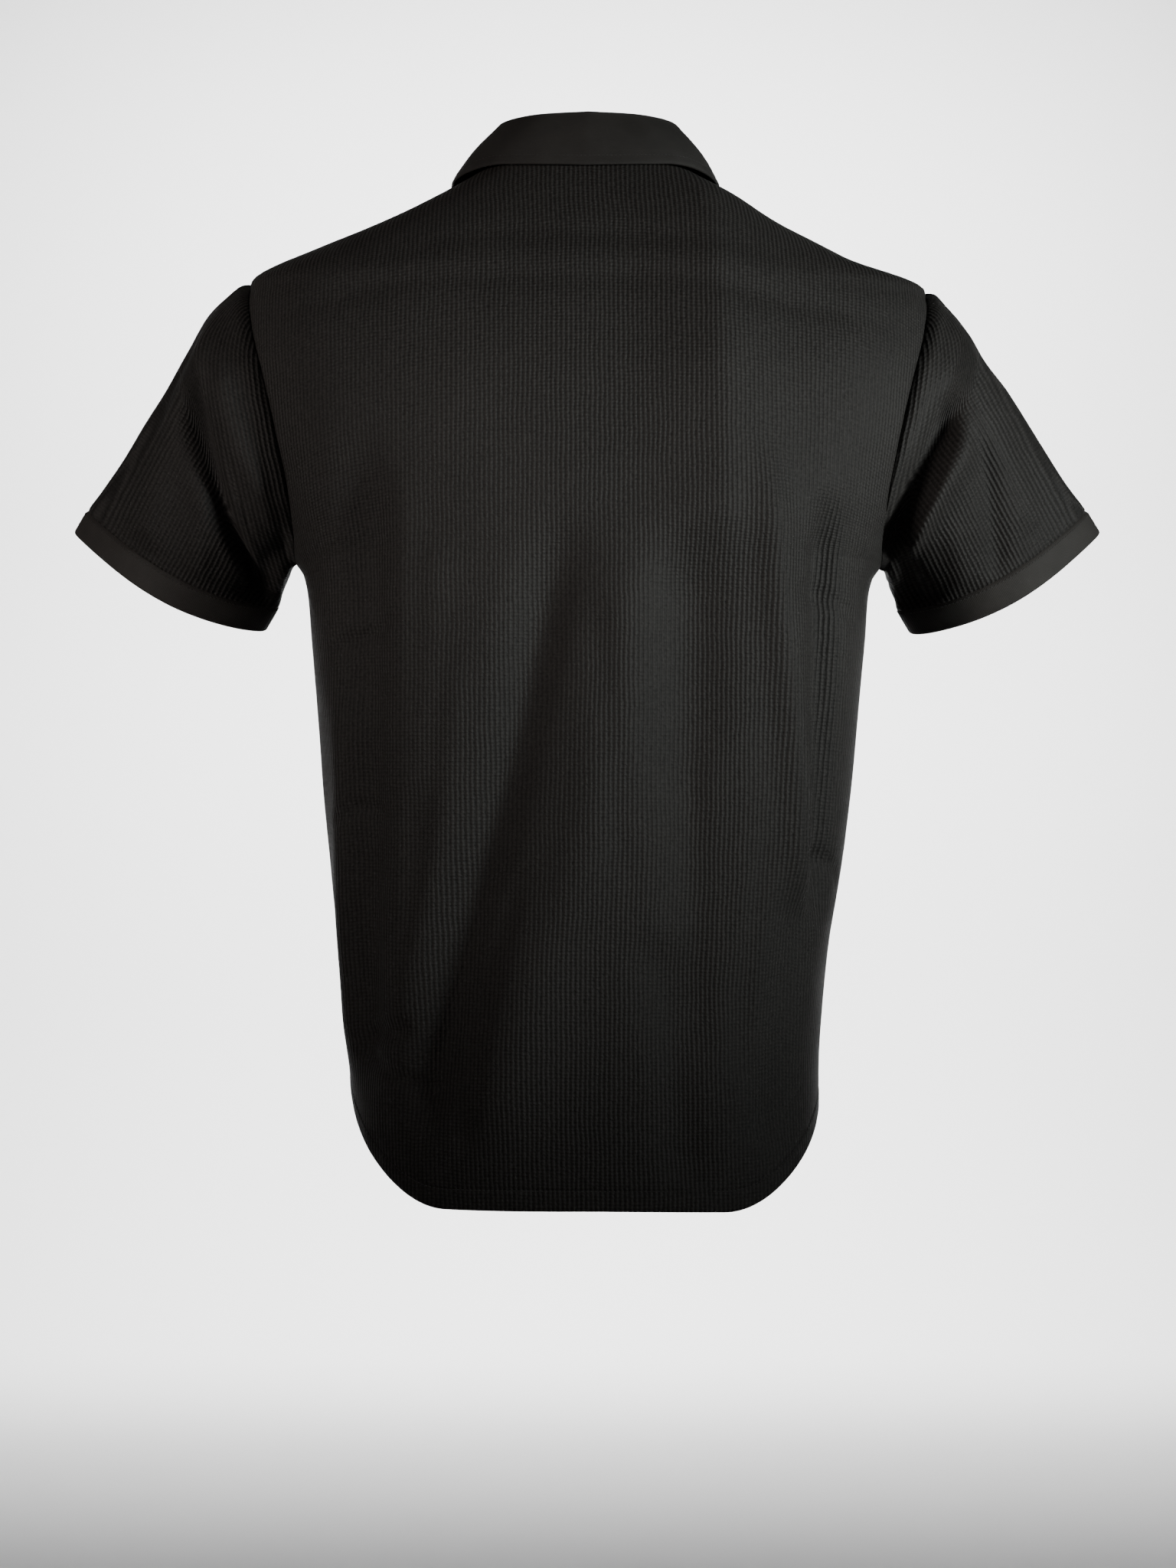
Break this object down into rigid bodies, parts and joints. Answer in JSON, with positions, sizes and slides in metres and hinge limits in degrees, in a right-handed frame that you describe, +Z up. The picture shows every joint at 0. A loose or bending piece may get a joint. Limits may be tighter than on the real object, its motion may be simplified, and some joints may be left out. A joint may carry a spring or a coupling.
{
  "type": "polo shirt",
  "caption": "Short-sleeved waffle-knit polo shirt in charcoal black, hollow in its worn form, with a turned-down collar, front button placket, smooth cuff bands and a curved shirt-tail hem.",
  "frame": {"origin": "middle of the neck opening, level with the tops of the shoulder seams", "axes": "+Z up towards the collar; the front faces -Y; +X towards the wearer's left"},
  "size_m": [0.7074, 0.2758, 0.724],
  "materials": {
    "knit": "matte",
    "smooth_knit": "matte",
    "buttons": "semi gloss"
  },
  "bodies": {
    "root": {"back_panel": "knit", "front_panel": "knit", "sleeve_left": "knit", "sleeve_right": "knit", "cuff_left": "smooth_knit", "cuff_right": "smooth_knit", "collar": "smooth_knit", "placket_upper": "smooth_knit", "placket_under": "smooth_knit", "button_1": "buttons", "button_2": "buttons", "button_3": "buttons"}
  },
  "joints": []
}
